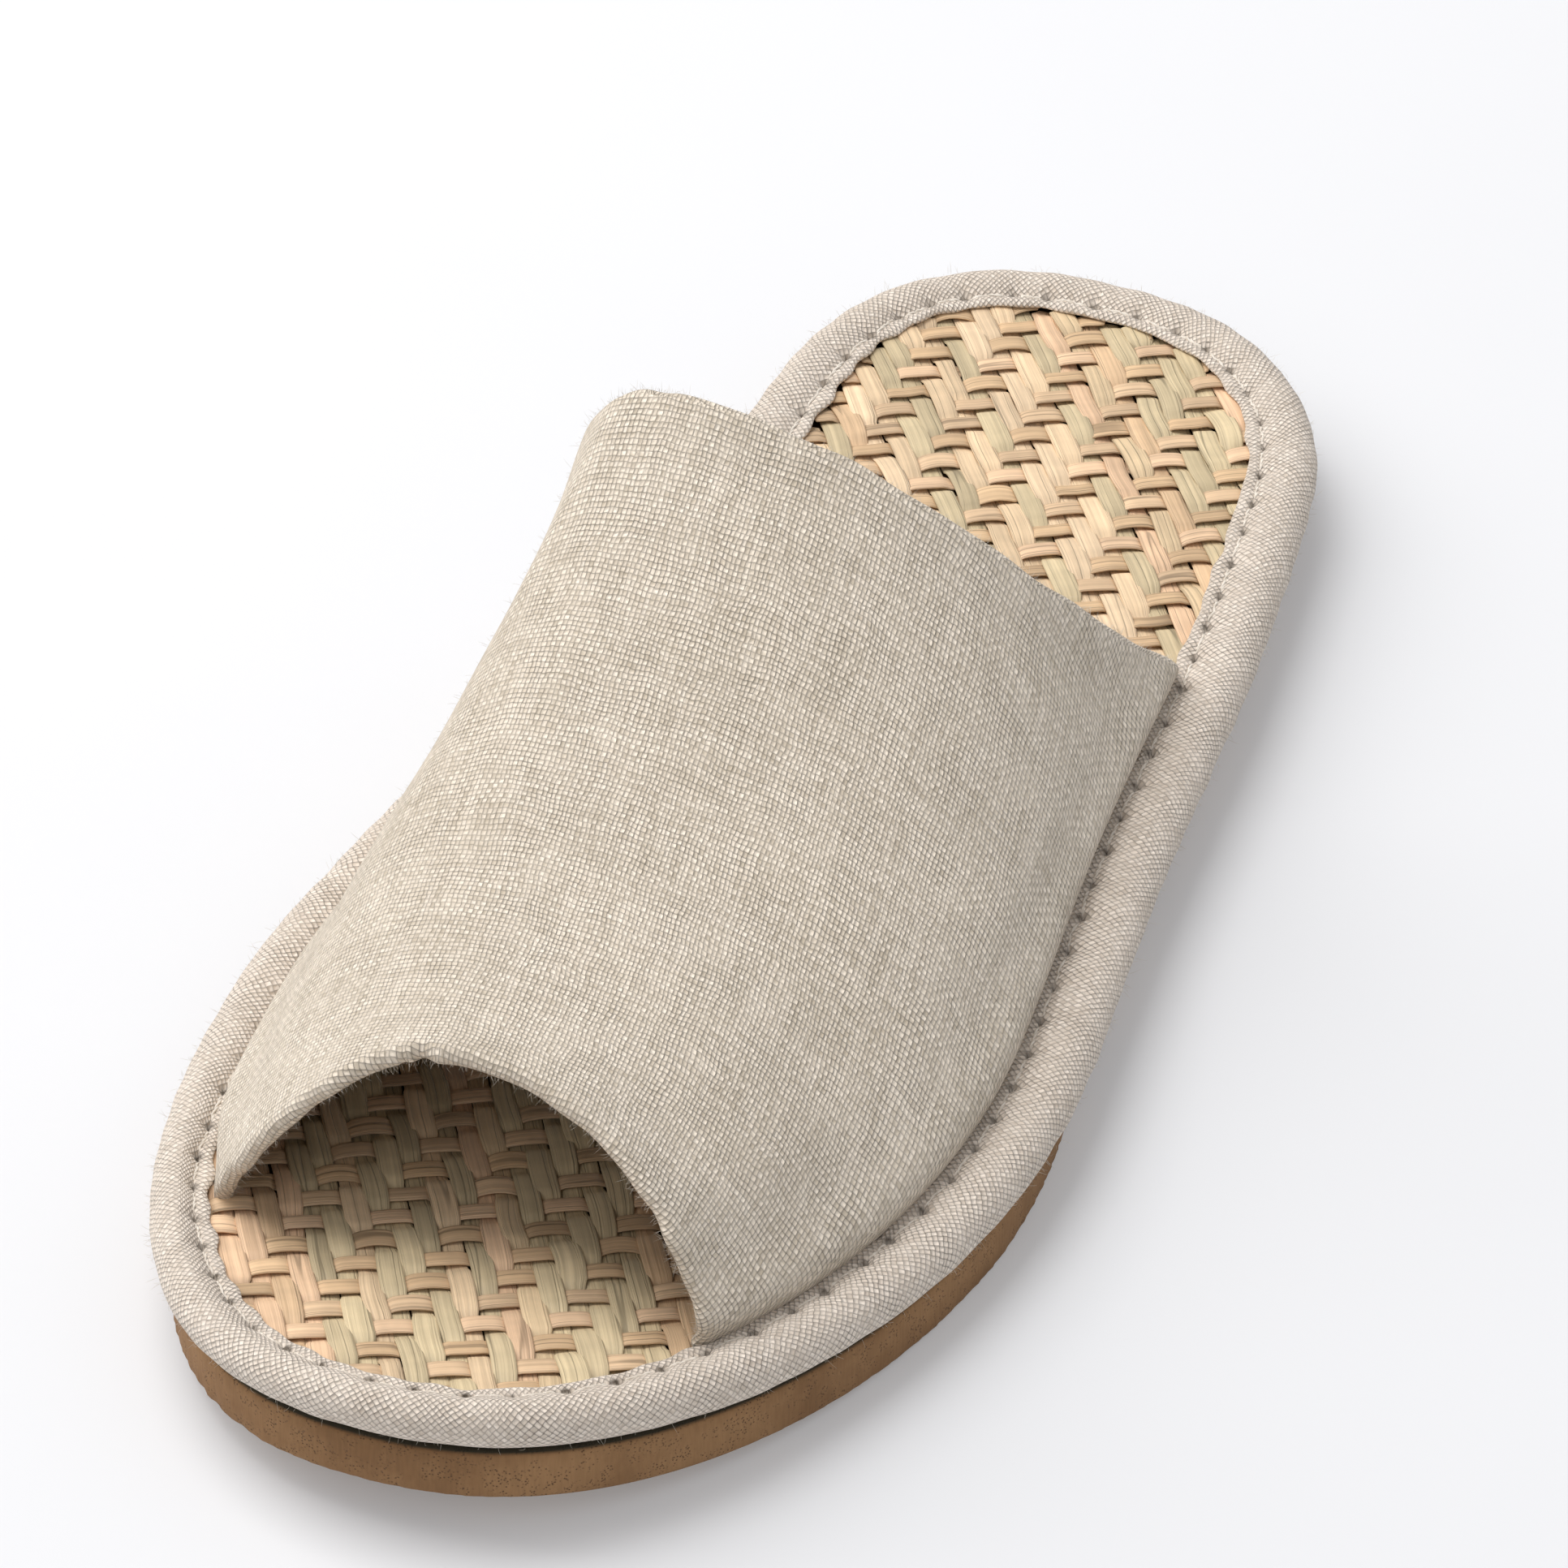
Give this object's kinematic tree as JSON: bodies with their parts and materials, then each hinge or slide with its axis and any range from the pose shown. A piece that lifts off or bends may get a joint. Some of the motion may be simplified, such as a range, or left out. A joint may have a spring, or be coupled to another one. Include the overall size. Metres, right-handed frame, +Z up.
{
  "type": "rush grass slipper",
  "caption": "Open-toed house slipper, left shoe: foam outsole, woven rush insole, padded linen edging and a linen band over the instep.",
  "frame": {"origin": "on the floor under the middle of the shoe's box", "axes": "+Y to the toe, +X to the big-toe side, +Z up"},
  "size_m": [0.1047, 0.256, 0.0605],
  "materials": {
    "foam": "matte brown foam with fine pores",
    "rush": "twill-woven strips of dried rush, satin",
    "edging_linen": "natural linen, plain weave, padded",
    "upper_linen": "natural linen, plain weave"
  },
  "bodies": {
    "root": {"outsole": "foam", "insole": "rush", "binding": "edging_linen", "upper": "upper_linen"}
  },
  "joints": []
}
